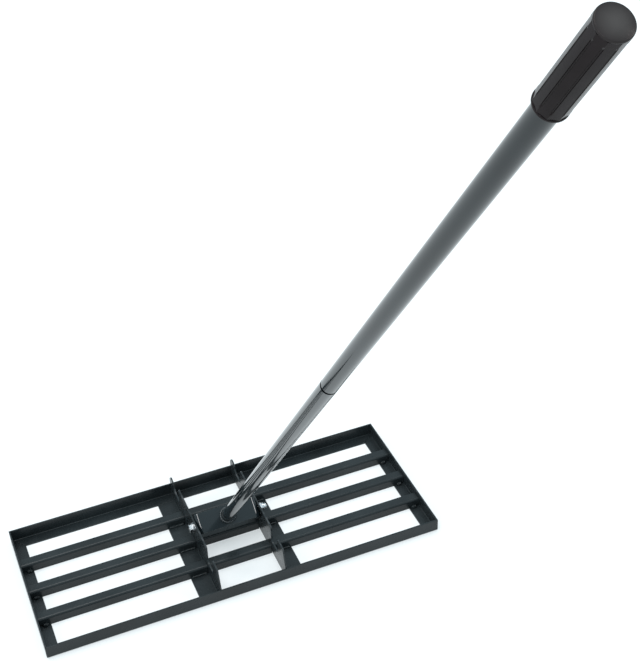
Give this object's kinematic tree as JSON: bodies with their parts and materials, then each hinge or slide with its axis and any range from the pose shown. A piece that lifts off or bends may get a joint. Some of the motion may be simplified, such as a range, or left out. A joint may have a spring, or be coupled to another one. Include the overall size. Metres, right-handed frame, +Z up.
{
  "type": "lawn leveling rake",
  "caption": "Lawn leveling rake: a flat rectangular head of angle-iron bars and slats under a long jointed tube handle with a grip, hinged on a U-bracket.",
  "frame": {"origin": "middle of the ground edge of the middle slat's upright leg, on the ground plane", "axes": "+X along the head to its right end, +Y to the rear of the head, +Z up; the handle leans to -Y"},
  "size_m": [0.762, 1.2515, 1.4671],
  "materials": {
    "head_paint": "gloss black powder coat",
    "handle_paint": "gloss black paint",
    "upper_paint": "gloss charcoal paint",
    "zinc_hardware": "bright zinc plate",
    "grip_rubber": "satin moulded rubber"
  },
  "bodies": {
    "head": {"rear_angle": "head_paint", "front_angle": "head_paint", "left_end_angle": "head_paint", "right_end_angle": "head_paint", "left_slat_rear": "head_paint", "left_slat_middle": "head_paint", "left_slat_front": "head_paint", "centre_slat_rear": "head_paint", "centre_slat_middle": "head_paint", "centre_slat_front": "head_paint", "right_slat_rear": "head_paint", "right_slat_middle": "head_paint", "right_slat_front": "head_paint", "left_side_plate": "head_paint", "right_side_plate": "head_paint", "pivot_bolt": "zinc_hardware", "pivot_washers": "zinc_hardware", "pivot_nut": "zinc_hardware"},
    "handle": {"pivot_bracket": "handle_paint", "base_weld": "handle_paint", "lower_tube": "handle_paint", "joint_socket": "zinc_hardware", "joint_stud": "zinc_hardware", "upper_tube": "upper_paint", "grip": "grip_rubber"}
  },
  "joints": [
    {"name": "handle_tilt", "type": "hinge", "parent": "head", "child": "handle", "pos_m": [0, 0.00825, 0.046], "axis": [1, 0, 0], "range_deg": [-127, 52]}
  ]
}
